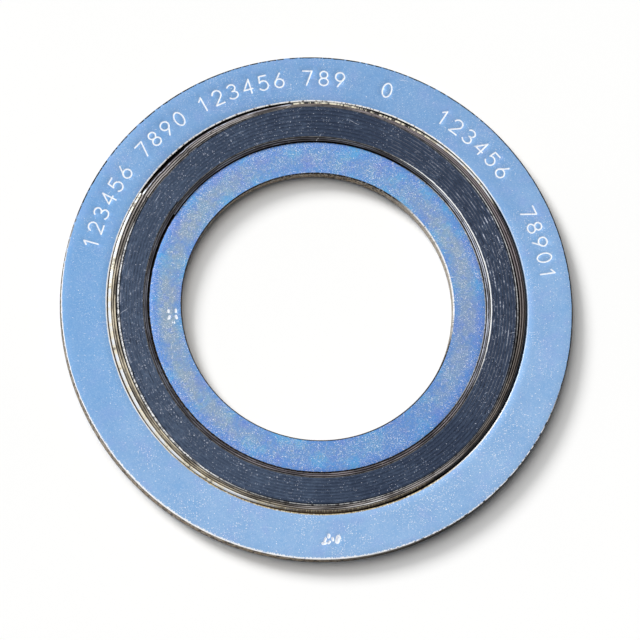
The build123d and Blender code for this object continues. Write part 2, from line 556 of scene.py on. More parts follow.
def core_plate(colours):
    """Deeper blue zinc plate under a grainy grey-green haze, violet toward its outer margin; painted
    shade darkens it toward the lower right.
    """
    made = Finish("inner_plate", colours.core_blue)
    grain = made.cloud(2300, 3, 0.75)
    blots = made.cloud(620, 4, 0.65)
    drifts = made.cloud(190, 4, 0.65)
    patches = made.cloud(170, 4, 0.6, (0.2, 0.4, 0.1))
    made.coat(colours.core_violet_and_shade, made.ramp(patches, 0.53, 0.62, 0.8))
    made.coat(colours.core_cyan, made.ramp(patches, 0.48, 0.38, 0.85))
    sides = made.most(made.facing(180, 0, 0.9), made.times(made.facing(4, 0.4, 1), 0.95), 0.28)
    cover = made.times(made.between(*HAZE, 1.2), sides, made.ramp(drifts, 0.3, 0.56, 1, 0.4))
    made.coat(colours.core_haze, cover, made.ramp(blots, 0.16, 0.5, 0.9, 0.2))
    made.coat(colours.core_green, made.ramp(drifts, 0.52, 0.68, 0.55))
    made.coat(colours.core_violet_and_shade, made.past(CORE_MARGIN, 0.8), made.ramp(drifts, 0.36, 0.56), 0.4)
    made.coat(colours.core_violet_and_shade, made.ramp(blots, 0.5, 0.36, 0.45))
    made.coat(colours.core_haze, made.ramp(grain, 0.5, 0.68, 0.65))
    made.coat(colours.core_deep_and_shade, made.ramp(grain, 0.48, 0.3, 0.4))
    # Painted shade: the inner ring is darker toward the lower right
    made.coat(colours.core_deep_and_shade, made.facing(322, 0.4, 0.95), 0.26)
    fine = made.most(made.specks(3400, 0.34, 0.5), made.specks(5200, 0.4, 0.3))
    fine = made.times(fine, made.ramp(drifts, 0.35, 0.6, 1, 0.3), 0.85)
    glints = made.most(fine, made.specks(1500, 0.17, 0.2), made.dashes(400, 0.4, 0.04, 0.2))
    made.coat(colours.bright_metal_and_highlight, glints, 0.95)
    rough = made.ramp(grain, 0.2, 0.8, 0.52, 0.34)
    return made.finish(rough, 0.45, 0.3, made.bump(grain, 0.3, 0.03))


def rim_edge_light_and_shade(colours):
    """Broken rim edge: a painted highlight on the near left, painted shade and nicks on the far side.

    Toward the right only its inner border keeps a bright painted highlight, in short lengths.
    """
    # Painted shade: the edge is black wherever no painted highlight is laid
    made = Finish("rim_edge_light_and_shade", colours.black_pits_and_shade)
    nicks = made.drawn(70, 500, 4, 0.7)
    made.coat(colours.plate_blue, made.ramp(nicks, 0.52, 0.6))
    # Painted highlight: bright metal broken by plate blue, laid on the near left
    painted_light = made.mix(made.ramp(nicks, 0.56, 0.7, 0.7), colours.bright_metal_and_highlight, colours.plate_blue)
    made.coat(painted_light, made.facing(252, -0.12, 0.3))
    # Painted shade: a dark outer border on the left and on the right
    left = made.times(made.facing(168, 0.4, 0.8), made.ramp(nicks, 0.6, 0.5, 1, 0.2))
    made.coat(colours.dark_wall_and_shade, made.at_rim(0.12, 0.07), left)
    broken = made.most(made.at_rim(0.14, 0.1), made.ramp(nicks, 0.52, 0.56))
    made.coat(colours.dark_wall_and_shade, made.facing(345, 0.3, 0.7), broken)
    return made.finish(0.4, 0.5, 0.2, made.bump(nicks, 0.4, 0.03))


def burred_edge(colours):
    """Turned bore edge, burred: a white painted highlight, yellow toward the near side, broken by brown
    on the far side and pale plate blue on the right.
    """
    # Painted highlight: the edge starts white all round
    made = Finish("burred_edge", colours.bright_metal_and_highlight)
    nicks = made.drawn(95, 500, 4, 0.75)
    beads = made.drawn(150, 500, 3, 0.7)
    yellow = made.mix(made.ramp(beads, 0.48, 0.58), colours.gilt, colours.raw_wall)
    yellow = made.mix(made.ramp(beads, 0.42, 0.34), yellow, colours.bright_metal_and_highlight)
    made.coat(yellow, made.facing(268, 0.62, 0.88))
    # On the far side the painted highlight breaks into brown gaps
    gaps = made.times(made.facing(105, 0.3, 0.9), made.ramp(nicks, 0.52, 0.6))
    made.coat(colours.ply_brown, made.most(gaps, made.ramp(nicks, 0.66, 0.74)))
    made.coat(colours.plate_pale_and_lit, made.facing(4, 0.78, 0.95), 0.75)
    return made.finish(0.34, 0.5, 0.5, made.bump(nicks, 0.4, 0.03))


def core_edge(colours):
    """Edges of the inner ring: painted shade, dark nearly all round, with thin painted highlights on the
    right.
    """
    # Painted shade: the edges are dark nearly all round
    made = Finish("core_edge", colours.dark_wall_and_shade)
    nicks = made.drawn(80, 400, 4, 0.7)
    rim_side = made.past(CORE_MIDDLE, 0.1)
    # Painted highlights: thin bright lines on the upper right of the bore edge and on the right of the
    # rim edge
    bore = made.most(made.facing(20, 0.8, 0.95), made.ramp(nicks, 0.56, 0.64, 0.8))
    bore = made.times(bore, made.less(rim_side), made.facing(40, 0.1, 0.5))
    bright = made.most(bore, made.times(made.facing(8, 0.6, 0.85), rim_side))
    made.coat(colours.bright_metal_and_highlight, bright, made.ramp(nicks, 0.66, 0.5, 1, 0.25))
    return made.finish(0.38, 0.5, 0.2, made.bump(nicks, 0.4, 0.03))


def raw_wall(colours):
    """Cut side walls: mottled brown-grey; painted light pales the bore wall on the right, and painted
    shade makes the outer one near black toward the right and blackens the inner ring's rim beside the
    winding.
    """
    made = Finish("raw_wall", colours.dark_wall_and_shade)
    streaks = made.drawn(70, 700, 5, 0.65)
    blots = made.cloud(900, 4, 0.7)
    outside = made.past(WALLS_MIDDLE, 1)
    made.coat(colours.raw_wall, made.ramp(streaks, 0.45, 0.51))
    # Painted light: the bore wall is paler on the right
    lit = made.times(made.facing(10, 0.5, 0.9), made.less(outside))
    made.coat(colours.pale_wall_and_lit, made.most(made.ramp(blots, 0.52, 0.56, 0.9), lit))
    # Painted shade: the outer wall is near black toward the right, away from the light
    made.coat(colours.dark_wall_and_shade, made.facing(330, 0.3, 0.9), outside)
    pits = made.ramp(made.cloud(1900, 3, 0.7), 0.46, 0.4, 0.7)
    # Painted shade: the inner ring's V rim is black beside the winding, mostly on the far side; the pits
    # are real
    hidden = made.times(made.between(*CORE_RIM, 0.5), made.facing(100, -0.6, 0.4), 0.9)
    made.coat(colours.black_pits_and_shade, made.most(pits, hidden))
    return made.finish(0.6, 0.8, 0.2, made.bump(streaks, 0.5, 0.05))


def gilt_bore(colours):
    """Machined groove and lands: tool chatter in yellow and bronze, with painted shade making it black
    on the right.
    """
    made = Finish("gilt_bore", colours.gilt)
    chatter = made.drawn(120, 160, 3, 0.6)
    made.coat(colours.ply_bronze, made.ramp(chatter, 0.42, 0.5))
    made.coat(colours.dark_wall_and_shade, made.ramp(chatter, 0.54, 0.66, 0.9))
    # Painted shade: the groove is black on the right
    made.coat(colours.black_pits_and_shade, made.facing(5, 0.3, 0.7))
    return made.finish(0.4, 0.5, 0.2, made.bump(chatter, 0.5, 0.05))


def etched_metal(colours):
    """Floor of the engraved strokes; the bottoms of deep dots are a little darker and violet, a painted
    shade.
    """
    made = Finish("etched_metal", colours.etched)
    grain = made.cloud(2600)
    made.coat(colours.plate_pale_and_lit, made.ramp(grain, 0.45, 0.8, 0.5))
    # Painted shade: the deeper the floor of a punched dot, the darker and more violet it is
    deep = made.ramp(made.height, RING_TOP - 0.1 * MM, RING_TOP - 0.15 * MM)
    made.coat(colours.core_violet_and_shade, deep, 0.25)
    return made.finish(0.6, 0, 0.5, made.bump(grain, 0.2, 0.02))


def slate(name, colours):
    """Pressed graphite, paler on the left by painted light and in random patches; it is also smeared
    over the laps.
    """
    made = Finish(name, colours.graphite)
    grain = made.drawn(30, 1700, 4, 0.65)
    # Painted light: the graphite is paler toward the left
    painted_light = made.times(made.facing(195, -0.4, 0.9), 0.5)
    pale = made.math("ADD", painted_light, made.ramp(made.cloud(180, 4, 0.6), 0.45, 0.68, 0.2))
    made.coat(colours.graphite_pale_and_lit, made.math("ADD", pale, made.ramp(grain, 0.45, 0.7, 0.35, -0.12)))
    return made, grain


def lap_steel(colours):
    """Slit edges between the filler: thin bright dashes of painted highlight on the right, with painted
    shade in the gaps beside them, smeared over elsewhere.
    """
    made, grain = slate("lap_steel", colours)
    smear = made.drawn(20, 1100, 6, 0.72)
    # Painted highlights: the laps catch the light on the right and the left
    strong = made.times(made.facing(15, 0.8, 1), made.ramp(smear, 0.55, 0.63))
    faint = made.times(made.facing(18, 0.5, 0.8), made.ramp(smear, 0.42, 0.6, 0.2, 0.02))
    left = made.times(made.facing(190, 0.6, 0.95), made.ramp(smear, 0.5, 0.7, 0.4))
    made.coat(colours.steel, made.most(strong, faint, left))
    # Painted shade: black gaps beside the laps on the right and the left
    lap_gap_shade = made.most(made.facing(0, 0.4, 0.8), made.facing(195, 0.7, 0.95))
    made.coat(colours.black_pits_and_shade, lap_gap_shade, made.ramp(smear, 0.5, 0.36, 0.55))
    made.coat(colours.steel, made.most(made.specks(2600, 0.3, 0.12), made.dashes(*LONG_SCRATCHES)), 0.7)
    return made.finish(0.5, 0.3, 0.15, made.bump(grain, 0.3, 0.03))


def glinting_lap(colours):
    """The laps at both ends of the filler: a painted glint in broken, ragged lengths, with painted shade
    below their edges.
    """
    made = Finish("glinting_lap", colours.ply_dark_and_shade)
    ragged = made.cloud(2200, 3, 0.75)
    outside = made.past(WINDING_MIDDLE, 0.5)
    left = made.times(made.facing(200, 0.6, 0.84), outside)
    near = made.times(made.facing(270, 0.75, 0.97), outside, 0.45)
    right = made.times(made.facing(22, 0.82, 0.96), outside, 0.6)
    inner = made.times(made.facing(20, 0.6, 0.9), made.less(outside))
    lengths = made.ramp(made.drawn(26, 300, 4, 0.65), 0.38, 0.5, 1, 0.25)
    whole = made.times(lengths, made.ramp(ragged, 0.34, 0.52))
    whole = made.most(whole, made.times(inner, 0.95), made.times(right, 0.8))
    # Painted glint: bright lengths on the sides where the laps catch the light
    made.coat(colours.bright_metal_and_highlight, made.most(left, near, right, inner, 0.12), whole)
    # Painted shade below the slit edges
    made.coat(colours.black_pits_and_shade, made.sunk(0.12, 0.3))
    return made.finish(0.4, 0.4, 0.2, made.bump(ragged, 0.4, 0.04))


def ply_steel(colours):
    """Slit edges of the plies without filler: cold on the inside of the filler, warm outside it, with
    painted light and shade by side.
    """
    made = Finish("ply_steel", colours.ply_cold)
    tarnish = made.drawn(5, 1700, 4, 0.6)
    grit = made.drawn(45, 1500, 3, 0.7)
    outside = made.past(WINDING_MIDDLE, 0.5)
    grey = made.mix(0.55, colours.ply_brown, colours.graphite_pale_and_lit)
    made.coat(grey, made.ramp(tarnish, 0.46, 0.6, 0.9))
    # Painted highlight: the plies turn bright steel on the right
    made.coat(colours.steel, made.facing(8, 0.65, 0.92), made.ramp(tarnish, 0.4, 0.58, 1, 0.2))
    # Painted light: the plies are lighter grey on the near side and toward the right, with less dark
    # tarnish there
    made.coat(colours.ply_lit_grey, made.facing(285, 0.3, 0.9), made.ramp(tarnish, 0.42, 0.58, 0.85, 0.2))
    warm = made.mix(made.facing(45, 0.5, 0.97), colours.ply_brown, colours.ply_lit_grey)
    calm = made.less(made.times(made.facing(25, 0.5, 0.95), 0.85))
    warm = made.mix(made.times(calm, made.ramp(tarnish, 0.56, 0.38)), warm, colours.ply_dark_and_shade)
    made.coat(warm, outside)
    # Painted highlight: cream shine on the outer plies toward the lower left, and cream grit
    shine = made.times(made.facing(205, 0.3, 0.9), made.ramp(tarnish, 0.44, 0.62, 0.75, 0.12), outside)
    made.coat(colours.cream_highlight, made.most(shine, made.ramp(grit, 0.66, 0.78, 0.6)))
    # Painted light: the outer plies are paler on the far side, round bearing 136, and on the near side,
    # round 288
    lit_sides = made.most(made.facing(136, 0.78, 0.92), made.facing(288, 0.86, 0.96))
    made.coat(colours.ply_lit_pale, lit_sides, made.ramp(tarnish, 0.4, 0.52, 0.95, 0.25), outside)
    # Painted highlight: thin bright streaks on the outer plies, right on the near side
    streaks = made.ramp(tarnish, 0.5, 0.6, 0.7)
    made.coat(colours.bright_metal_and_highlight, made.facing(284, 0.955, 0.995), streaks, outside)
    made.coat(colours.black_pits_and_shade, made.ramp(grit, 0.42, 0.3, 0.6))
    made.coat(colours.bright_metal_and_highlight, made.dashes(*LONG_SCRATCHES), 0.7)
    beads = made.ramp(made.drawn(150, 500, 3, 0.7), 0.48, 0.56)
    made.coat(colours.gilt, made.facing(262, 0.7, 0.95), made.past(LAST_PLIES, 0.05), beads, 0.55)
    # Painted shade: the gaps below the slit edges are black, much less so on the outer plies' right and
    # left, and partly elsewhere
    tight = made.most(made.facing(20, 0.5, 0.9), made.times(made.facing(180, 0, 0.6), 0.75))
    smeared = made.times(made.less(made.facing(15, 0.2, 0.8)), 0.45)
    filled = made.most(made.times(outside, tight, 0.9), smeared)
    made.coat(colours.black_pits_and_shade, made.sunk(0.08, 0.2), made.less(filled))
    return made.finish(0.45, 0.4, 0.15, made.bump(tarnish, 0.3, 0.03))


def hoop_flank(colours):
    """Top and rolled flank of the outermost ply.

    It is a smooth cream painted highlight on the left, yellow chatter near, broken into cream highlight
    and dark chips on the far side and black painted shade on the right; deep in the gap beside it
    nothing is lit.
    """
    made = Finish("hoop_flank", colours.bright_metal_and_highlight)
    rolling = made.drawn(20, 1500, 3, 0.6)
    chatter = made.drawn(190, 700, 3, 0.7)
    chips = made.drawn(60, 300, 4, 0.75)
    # Painted highlight: the flank is cream where it reflects the light
    made.coat(colours.cream_highlight, made.ramp(rolling, 0.4, 0.6))
    made.coat(colours.ply_brown, made.ramp(rolling, 0.6, 0.66, 0.8))
    yellow = made.mix(made.ramp(chatter, 0.5, 0.62, 0.6), colours.ply_bronze, colours.gilt)
    made.coat(yellow, made.facing(288, 0.72, 0.95))
    # Painted shade toward the near right
    made.coat(colours.ply_dark_and_shade, made.facing(296, 0.8, 0.97), 0.3)
    chipped = made.mix(made.ramp(chips, 0.46, 0.54), colours.cream_highlight, colours.dark_wall_and_shade)
    made.coat(chipped, made.facing(82, 0.86, 0.95))
    # On the far side the ply's top is grey steel, painted light, and the flank below it is black,
    # painted shade
    far = made.facing(122, 0.905, 0.92)
    made.coat(made.mix(made.ramp(rolling, 0.42, 0.58), colours.ply_lit_grey, colours.steel), far)
    made.coat(colours.black_pits_and_shade, far, made.sunk(0.03, 0.08))
    # Painted shade: black on the right
    made.coat(colours.black_pits_and_shade, made.facing(347, 0.67, 0.74))
    shade = made.mix(made.facing(215, 0.2, 0.7), colours.black_pits_and_shade, colours.ply_bronze)
    made.coat(shade, made.sunk(0.36, 0.46))
    return made.finish(0.34, 0.5, 0.2, made.bump(rolling, 0.25, 0.02))


def graphite(colours):
    """Pressed flexible graphite: dark slate, drawn out along the turns, with tiny flakes."""
    made, grain = slate("graphite", colours)
    drifts = made.ramp(made.cloud(160, 3), 0.42, 0.6, 1, 0.15)
    flakes = made.times(drifts, made.most(made.specks(2900, 0.32, 0.22), made.specks(1400, 0.2, 0.12)))
    # Bright streaks along the turns, only toward the upper left
    upper_left_streaks = made.ramp(made.drawn(90, 900, 4, 0.7), 0.6, 0.7)
    upper_left_streaks = made.times(made.facing(165, 0.2, 0.8), upper_left_streaks)
    # Painted glints: bright specks near the inner plies on the lower left
    painted_light = made.times(made.between(*BESIDE_PLIES, 0.4), made.facing(228, 0.7, 0.95))
    painted_light = made.times(painted_light, made.specks(1900, 0.4, 0.45))
    hairs = made.most(made.dashes(*LONG_SCRATCHES), made.dashes(500, 0.3, 0.04, 0.1))
    made.coat(colours.steel, made.most(flakes, upper_left_streaks, hairs, painted_light), 0.7)
    return made.finish(0.55, 0.15, 0.15, made.bump(grain, 0.3, 0.03))


# ---------------------------------------------------------------- mesh tools


def mesh_piece(name, points, faces, slots, materials, node):
    """A mesh object that stands for a solid and carries its materials; level faces stay flat."""
    mesh = bpy.data.meshes.new(name)
    mesh.from_pydata(points, [], faces)
    for material in materials:
        mesh.materials.append(material)
    mesh.polygons.foreach_set("material_index", slots)
    mesh.update()
    mesh.polygons.foreach_set("use_smooth", [abs(face.normal.z) < LEVEL for face in mesh.polygons])
    mesh.set_sharp_from_angle(angle=SHARP_ANGLE)
    piece = bpy.data.objects.new(name, mesh)
    bpy.context.scene.collection.objects.link(piece)
    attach(piece, "root")
    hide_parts(node)
    return piece


def ripple(turns, seed, waves, reach):
    """A smooth, seeded wander along the turns, between minus and plus reach."""
    rng = np.random.default_rng(seed)
    total = np.zeros_like(turns)
    for _ in range(waves):
        rate = rng.uniform(1.0, waves)
        total += np.sin(2 * math.pi * (rate * turns + rng.uniform()))
    return reach * total / waves


class Cut:
    """A shallow V-shaped stroke in a flat face: its middle line, its width and its depth."""

    def __init__(self, line, width, depth):
        self.line = np.array(line)
        self.reach = width / 2
        self.depth = depth

    def outline(self):
        """The stroke's edge, anticlockwise: out along its right side and back along its left."""
        steps = np.gradient(self.line, axis=0)
        normals = np.column_stack([-steps[:, 1], steps[:, 0]])
        normals /= np.linalg.norm(normals, axis=1)[:, None]
        left = self.line + normals * self.reach
        right = self.line - normals * self.reach
        caps = []
        for end, normal in ((self.line[-1], normals[-1]), (self.line[0], -normals[0])):
            start = math.atan2(normal[1], normal[0])
            sweep = [start - math.pi * k / CAP_STEPS for k in range(1, CAP_STEPS)]
            caps.append(end + self.reach * np.array([(math.cos(a), math.sin(a)) for a in sweep]))
        return np.vstack([left, caps[0], right[::-1], caps[1]])[::-1]

    def depth_at(self, points):
        """Depth of the V under each point."""
        start = self.line[:-1]
        step = self.line[1:] - start
        away = points[:, None, :] - start[None]
        share = (away * step).sum(axis=2) / (step * step).sum(axis=1)
        share = np.clip(share, 0, 1)
        distance = np.linalg.norm(away - share[:, :, None] * step, axis=2).min(axis=1)
        return self.depth * np.clip(1 - distance / self.reach, 0, 1)


def beyond(circle, place):
    """Whether a place lies outside a circle of evenly turned points."""
    turn = math.atan2(place[1], place[0]) / (2 * math.pi) % 1
    k = int(turn * len(circle)) % len(circle)
    start, end = circle[k], circle[(k + 1) % len(circle)]
    along, away = end - start, place - start
    return along[0] * away[1] < along[1] * away[0]


def face_with_cuts(inner, outer, cuts):
    """A flat ring face between two circles of points, cut by strokes.

    Gives its points, their depths, its triangles, whether each lies in a stroke, and where the
    points of the outer circle and then the inner one are found among its points.
    """
    steps = len(inner)
    points = [*outer, *inner]
    edges = [(first + k, first + (k + 1) % steps) for first in (0, steps) for k in range(steps)]
    for row in range(1, FACE_ROWS):
        share = row / FACE_ROWS
        points += [a * share + b * (1 - share) for a, b in zip(inner[row % 2 :: 3], outer[row % 2 :: 3])]
    areas = []
    for cut in cuts:
        outline = cut.outline()
        areas.append(list(range(len(points), len(points) + len(outline))))
        points += list(outline)
        edges += [(len(points) + k, len(points) + k + 1) for k in range(len(cut.line) - 1)]
        points += list(cut.line)
    flat = [Vector(point) / MM for point in points]
    places, _, triangles, sources, _, owners = delaunay_2d_cdt(flat, edges, areas, 0, 1e-6, True)
    places = np.array(places) * MM
    depths = np.zeros(len(places))
    for cut in cuts:
        depths = np.maximum(depths, cut.depth_at(places))
    kept, in_cut = [], []
    for triangle, owner in zip(triangles, owners):
        middle = places[triangle].mean(axis=0)
        if beyond(inner, middle) and not beyond(outer, middle):
            kept.append(triangle)
            in_cut.append(bool(owner))
    found = {n: source for n, origin in enumerate(sources) for source in origin if source < 2 * steps}
    return places, depths, kept, in_cut, found


def circle_points(radius, burr=0.0, seed=0):
    """Points round a circle, wandering by the burr."""
    turns = np.arange(RING_STEPS) / RING_STEPS
    rng = np.random.default_rng(seed)
    wander = np.zeros(RING_STEPS)
    for rate in rng.integers(*BURR_RATES, BURR_WAVES):
        wander += np.sin(2 * math.pi * (rate * turns + rng.uniform()))
    reach = radius + burr * wander / BURR_PEAK
    around = 2 * math.pi * turns
    return np.column_stack([reach * np.cos(around), reach * np.sin(around)])


def quads(rows, columns):
    """Quads between neighbouring rows of points; each row closes on itself."""
    faces = []
    for row in range(rows - 1):
        for column in range(columns):
            step = (column + 1) % columns
            low, high = row * columns, (row + 1) * columns
            faces.append((low + column, high + column, high + step, low + step))
    return faces


def ring_piece(name, section, cuts, materials, node):
    """A turned ring, whose flat top is closed by a face cut with strokes.

    The section runs from the top face's outer edge down round the ring to its inner edge, as
    (radius, height, burr, material).
    """
    circles = [circle_points(radius, burr, seed) for seed, (radius, _, burr, _) in enumerate(section)]
    points = []
    for circle, (_, height, _, _) in zip(circles, section):
        points += [(x, y, height) for x, y in circle]
    faces = quads(len(section), RING_STEPS)
    slots = [material for *_, material in section[:-1] for _ in range(RING_STEPS)]
    places, depths, triangles, in_cut, found = face_with_cuts(circles[-1], circles[0], cuts)
    last = (len(section) - 2) * RING_STEPS
    index = {n: source if source < RING_STEPS else last + source for n, source in found.items()}
    for number, (place, depth) in enumerate(zip(places, depths)):
        if number not in index:
            index[number] = len(points)
            points.append((*place, section[0][1] - depth))
    faces += [[index[number] for number in triangle] for triangle in triangles]
    slots += [section[-1][3] + cut for cut in in_cut]
    return mesh_piece(name, points, faces, slots, materials, node)


def on_ring(radius, side, turn):
    """A point at a radius and a bearing, moved sideways, clockwise seen from above."""
    return (
        radius * math.cos(turn) + side * math.sin(turn),
        radius * math.sin(turn) - side * math.cos(turn),
    )


def numeral_cuts(sizes):
    """The strokes of the running numerals round the centring ring's face, their tops outward."""
    cuts = []
    count = 0
    for first, total in NUMERAL_GROUPS:
        for place in range(total):
            count += 1
            turn = math.radians(first) - place * sizes.numeral_pitch
            for stroke in NUMERALS[count % 10]:
                line = []
                for x, y in stroke_line(stroke):
                    radius = sizes.numeral_radius + (y - 0.5) * sizes.numeral_height
                    side = (x - NUMERAL_WIDTH / 2) * sizes.numeral_height
                    line.append(on_ring(radius, side, turn))
                cuts.append(Cut(line, sizes.stroke_width, sizes.stroke_depth))
    return cuts


def stroke_line(stroke):
    """Points along a numeral's line or arc, in its box."""
    if len(stroke) == 4:
        x0, y0, x1, y1 = stroke
        return [(x0, y0), ((x0 + x1) / 2, (y0 + y1) / 2), (x1, y1)]
    x, y, across, up, start, end = stroke
    steps = max(6, round(abs(end - start) / 20))
    sweep = [math.radians(start + (end - start) * k / steps) for k in range(steps + 1)]
    return [(x + across * math.cos(a), y + up * math.sin(a)) for a in sweep]


def punch_cuts(radius, turn, dots, depth):
    """A mark of punched dots, each given as (out, side, length, width, lean) from its middle."""
    cuts = []
    for out, side, long, wide, lean in dots:
        x, y = on_ring(radius + out * MM, side * MM, turn)
        reach = long * MM / 2
        dx, dy = reach * math.cos(math.radians(lean)), reach * math.sin(math.radians(lean))
        cuts.append(Cut([(x - dx, y - dy), (x, y), (x + dx, y + dy)], wide * MM, depth))
    return cuts


# ---------------------------------------------------------------- the winding


def swell(bearing, centre, reach):
    """A smooth hump round a bearing, from nothing at its reach to one at its centre."""
    away = np.abs((bearing - math.radians(centre) + math.pi) % (2 * math.pi) - math.pi)
    return np.cos(np.clip(away / math.radians(reach), 0, 1) * math.pi / 2) ** 2


def hump(bearing, gain, centre, reach):
    """A hump round a bearing with its top cut flat at one."""
    return np.clip(gain * swell(bearing, centre, reach), 0, 1)


def stretch(turns, start, end, soft):
    """One between two turns of the winding, and nothing elsewhere."""
    return np.clip((turns - start) / soft, 0, 1) * np.clip((end - turns) / soft, 0, 1)


def bearings(turns, sizes):
    """Bearing of every step. The winding grows clockwise seen from above, to the end angle."""
    return sizes.end_angle + 2 * math.pi * (turns[-1] - turns)


def lap_radii(sizes):
    """Turns, edge radius of the strip and gauge of the filler at every step.

    Each lap of the strip lies on the lap below it.
    """
    laps = sizes.inner_plies + sizes.filled_turns + sizes.outer_plies
    turns = np.arange(laps * TURN_STEPS + 1) / TURN_STEPS
    bearing = bearings(turns, sizes)
    bunched = sum(out * swell(bearing, centre, reach) for centre, reach, out in BUNCHES)
    tape_starts = float(sizes.inner_plies)
    tape_ends = tape_starts + sizes.filled_turns
    tape = stretch(turns, tape_starts, tape_ends + TAPER, TAPER)
    tape = tape * tape * (3 - 2 * tape)
    tape *= sizes.filler_gauge + bunched / sizes.filled_turns + ripple(turns, SEED, 9, TAPE_WANDER)
    outer_play = sizes.outer_play - bunched / sizes.outer_plies
    play = np.where(turns < tape_starts, sizes.inner_play, outer_play)
    play = play * (1 + ripple(turns, SEED + 1, 9, PLAY_WANDER))
    step = sizes.strip_gauge + np.where(tape > FULL_TAPE, tape, np.maximum(play, LEAST_PLAY))
    radii = np.empty_like(turns)
    radii[:TURN_STEPS] = sizes.first_radius + turns[:TURN_STEPS] * step[TURN_STEPS]
    for lap in range(1, laps):
        here = slice(lap * TURN_STEPS, (lap + 1) * TURN_STEPS)
        below = slice((lap - 1) * TURN_STEPS, lap * TURN_STEPS)
        radii[here] = radii[below] + step[here]
    radii[-1] = radii[-1 - TURN_STEPS] + step[-1]
    return turns, radii, tape


def sections(*columns):
    """Stacks columns of radii and heights into one section for every step."""
    return np.stack([np.column_stack(column) for column in columns], axis=1)


def swept(profiles, around):
    """Points of sections, given as (radius, height) columns, each laid at its bearing."""
    x = profiles[:, :, 0] * np.cos(around)[:, None]
    y = profiles[:, :, 0] * np.sin(around)[:, None]
    return np.stack([x, y, profiles[:, :, 1]], axis=2).reshape(-1, 3)


def sweep_faces(rows, columns):
    """Quads between neighbouring sections, and a cap at each end."""
    last = (rows - 1) * columns
    caps = [tuple(range(columns)), tuple(last + k for k in reversed(range(columns)))]
    return quads(rows, columns) + caps


def strip_sections(radii, turns, sizes, clear_radius):
    """The strip's V section at every step: slit edges, two flanks and the apex.

    The laps that close and open the filler are raised and rolled a little over it, the first on
    the left and the other on the right. The outermost ply's edges lie over outward on the left,
    and again on the far right, and stay within clear_radius.
    """
    bearing = bearings(turns, sizes)
    wander = np.maximum(STRIP_WANDER + ripple(turns, SEED + 3, 13, STRIP_WANDER), 0)

    def rolled(start, centre, reach, share, uneven, seed):
        over = stretch(turns, start, start + 1, 0.05) * hump(bearing, 2, centre, reach)
        return np.clip(over * (share + ripple(turns, SEED + seed, 160, uneven)), 0, 1)

    closing = rolled(sizes.inner_plies + sizes.filled_turns, 205, 55, 0.7, 5.0, 6)
    opening = rolled(sizes.inner_plies - 1, 16, 62, 0.8, 4.0, 8)
    top = STRIP_TOP - wander + (closing + opening) * sizes.roll_rise
    outer = radii + sizes.strip_gauge
    near, far = radii - closing * sizes.roll_width, outer + opening * sizes.roll_width
    sprung = np.maximum(hump(bearing, 3, 204, 66), 0.75 * hump(bearing, 14, 66, 35)) * sizes.shoulder
    sprung *= np.clip((turns - turns[-1] + 1) / 0.02, 0, 1) * (1 + ripple(turns, SEED + 7, 21, 0.35))
    sprung = np.minimum(sprung, np.maximum(clear_radius - outer, 0))
    bevel = sizes.strip_bevel
    lean = math.tan(sizes.flank_lean) * STRIP_TOP
    flat = np.zeros_like(radii)
    return sections(
        (near + bevel, -top),
        (near, bevel - top),
        (radii + lean, flat),
        (near, top - bevel),
        (near + bevel, top),
        (far - bevel, top),
        (far + sprung, top - bevel - sprung),
        (outer + lean, flat),
        (far + sprung, bevel + sprung - top),
        (far - bevel, -top),
    )


def filler_sections(inner, outer, turns, sizes):
    """The filler's V section at every step, crowned above and below."""
    lean = math.tan(sizes.flank_lean) * STRIP_TOP
    shoulder = np.minimum(CROWN_EDGE, (outer - inner) / 4)
    crown = FILLER_TOP - np.maximum(CROWN_DEPTH + ripple(turns, SEED + 4, 17, CROWN_WANDER), 0)
    edge = STRIP_TOP - EDGE_DEPTH + ripple(turns, SEED + 5, 15, EDGE_WANDER)
    flat = np.zeros_like(inner)
    return sections(
        (inner, -edge),
        (inner + lean, flat),
        (inner, edge),
        (inner + shoulder, crown),
        ((inner + outer) / 2, crown - CROWN_DIP),
        (outer - shoulder, crown),
        (outer, edge),
        (outer + lean, flat),
        (outer, -edge),
        (outer - shoulder, -crown),
        (inner + shoulder, -crown),
    )


# ---------------------------------------------------------------- operators


class GASKET_OT_centring_ring(bpy.types.Operator):
    """Turn the centring ring and engrave its running numerals"""

    bl_idname = "gasket.centring_ring"
    bl_label = "Centring Ring"
    bl_options = {"REGISTER", "UNDO"}

    def execute(self, context):
        scene = context.scene
        sizes, marks, colours = scene.gasket_rings, scene.gasket_marks, scene.gasket_finish
        face, edge, wall, bore, lip = 0, 2, 3, 4, 5
        rim, top = RIM_RADIUS, RING_TOP
        land, mouth = sizes.land_radius, sizes.groove_mouth
        out, step, burr = sizes.rim_break, sizes.land_break, sizes.burr
        section = [
            (rim - out, top, burr, edge),
            (rim - out * 0.3, top - out * 0.15, burr / 2, edge),
            (rim, top - out * 0.55, 0, wall),
            (rim, out * 0.55 - top, 0, edge),
            (rim - out * 0.3, out * 0.15 - top, burr / 2, edge),
            (rim - out, -top, burr, face),
            (land + step, -top, burr, lip),
            (land, step * 0.45 - top, 0, bore),
            (land, -mouth, 0, bore),
            (sizes.groove_radius, 0, 0, bore),
            (land, mouth, 0, bore),
            (land, top - step * 0.45, 0, lip),
            (land + step, top, burr, face),
        ]
        cuts = numeral_cuts(marks) + punch_cuts(*RING_MARK, RING_DOTS, marks.punch_depth)
        finishes = (centring_plate, etched_metal, rim_edge_light_and_shade, raw_wall, gilt_bore, burred_edge)
        materials = [make(colours) for make in finishes]
        ring_piece("centring_plate_ring", section, cuts, materials, "centring_ring")
        return {"FINISHED"}


